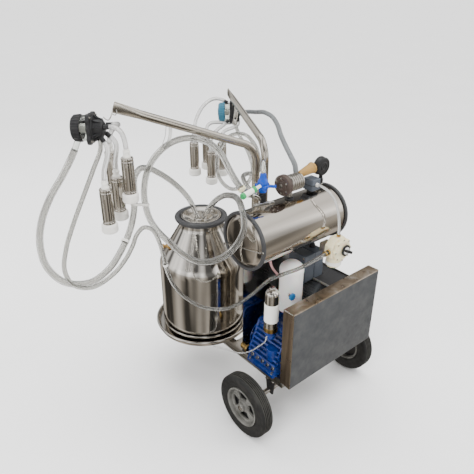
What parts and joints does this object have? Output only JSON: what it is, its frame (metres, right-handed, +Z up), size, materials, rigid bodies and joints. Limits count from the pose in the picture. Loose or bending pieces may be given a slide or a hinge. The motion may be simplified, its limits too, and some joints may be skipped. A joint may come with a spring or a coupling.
{
  "type": "milking machine",
  "caption": "Wheeled bucket milking machine: belt-driven vacuum pump, vacuum tank, steel milk bucket on a tray, and teat-cup clusters hung on a tall forked handle.",
  "frame": {"origin": "on the ground, in the middle of the machine's footprint, measured without its hoses", "axes": "+X along the wheel axle towards the motor side, +Y from the belt guard towards the milk bucket, +Z up"},
  "size_m": [1.1804, 0.8188, 1.2482],
  "materials": {
    "black_plastic": "satin",
    "black_rubber": "matte",
    "blue_casting": "satin",
    "blue_grey": "satin",
    "bright_blue_plastic": "gloss",
    "brown_cover": "satin",
    "clear_hose": "gloss",
    "cream_plastic": "satin",
    "grey_hose": "satin",
    "grey_paint": "matte",
    "hub_plastic": "matte",
    "polished_steel": "polished",
    "satin_steel": "satin",
    "tyre_rubber": "matte",
    "white_plastic": "satin"
  },
  "bodies": {
    "machine": {"axle": "satin_steel", "axle_bracket_far": "black_plastic", "axle_bracket_near": "black_plastic", "belt_guard": "grey_paint", "bucket": "polished_steel", "bucket_tray": "polished_steel", "claw_bowl_left": "clear_hose", "claw_bowl_right": "clear_hose", "claw_left": "black_plastic", "claw_right": "black_plastic", "cross_rear": "satin_steel", "deck_plate": "satin_steel", "drive_belt": "black_rubber", "exhaust_silencer": "polished_steel", "handle_left": "polished_steel", "handle_right": "polished_steel", "line_pulsator": "brown_cover", "link_tube": "clear_hose", "milk_hose_left": "clear_hose", "milk_hose_right": "clear_hose", "milk_pulsator": "cream_plastic", "motor_body": "grey_paint", "motor_stand": "grey_paint", "oil_bottle": "white_plastic", "outlet_manifold": "white_plastic", "pulse_hose_left": "clear_hose", "pulse_hose_right": "grey_hose", "pump_body": "blue_casting", "pump_cover": "blue_casting", "rail_far": "satin_steel", "rail_middle": "satin_steel", "rail_near": "satin_steel", "stand_leg": "satin_steel", "switch_box": "blue_grey", "tank_cap_far": "polished_steel", "tank_cap_near": "polished_steel", "tank_panel": "polished_steel", "tank_shell": "polished_steel", "teat_cup_left_1": "polished_steel", "teat_cup_left_2": "polished_steel", "teat_cup_left_3": "polished_steel", "teat_cup_left_4": "polished_steel", "teat_cup_right_1": "polished_steel", "teat_cup_right_2": "polished_steel", "teat_cup_right_3": "polished_steel", "teat_cup_right_4": "polished_steel", "vacuum_gauge": "black_plastic", "vacuum_hose": "clear_hose", "vacuum_regulator": "bright_blue_plastic"},
    "wheel_near": {"tyre_near": "tyre_rubber", "hub_near": "hub_plastic"},
    "wheel_far": {"tyre_far": "tyre_rubber", "hub_far": "hub_plastic"},
    "motor_drive": {"motor_rotor": "satin_steel"},
    "pump_drive": {"pump_rotor": "satin_steel"},
    "knob": {"pulsator_knob": "black_plastic"},
    "screw": {"regulator_screw": "clear_hose"},
    "tap": {"oil_tap": "bright_blue_plastic"},
    "lid": {"bucket_lid": "polished_steel", "lid_gasket": "black_rubber"}
  },
  "joints": [
    {"name": "wheel_near_spin", "type": "hinge", "parent": "machine", "child": "wheel_near", "pos_m": [-0.118, -0.2814, 0.127], "axis": [1, 0, 0], "continuous": true},
    {"name": "wheel_far_spin", "type": "hinge", "parent": "machine", "child": "wheel_far", "pos_m": [0.476, -0.2814, 0.127], "axis": [1, 0, 0], "continuous": true},
    {"name": "pump_spin", "type": "hinge", "parent": "machine", "child": "pump_drive", "pos_m": [0.064, -0.3814, 0.315], "axis": [0, 1, 0], "continuous": true},
    {"name": "motor_spin", "type": "hinge", "parent": "machine", "child": "motor_drive", "pos_m": [0.269, -0.3814, 0.47], "axis": [0, 1, 0], "continuous": true},
    {"name": "knob_turn", "type": "hinge", "parent": "machine", "child": "knob", "pos_m": [0.251, -0.3994, 0.71], "axis": [0, 1, 0], "range_deg": [-360, 360]},
    {"name": "screw_turn", "type": "hinge", "parent": "machine", "child": "screw", "pos_m": [-0.011, -0.2289, 1.04], "axis": [0, 0, 1], "range_deg": [-360, 360]},
    {"name": "tap_turn", "type": "hinge", "parent": "machine", "child": "tap", "pos_m": [0.059, -0.3164, 0.56], "axis": [0, 1, 0], "range_deg": [0, 180]},
    {"name": "lid_lift", "type": "slide", "parent": "machine", "child": "lid", "axis": [0, 0, 1], "range_m": [0, 0.05], "deforming": ["milk_hose_left", "vacuum_hose"]}
  ],
  "couplings": [
    {"joint": "motor_spin", "follows": "pump_spin", "ratio": 1.5}
  ]
}
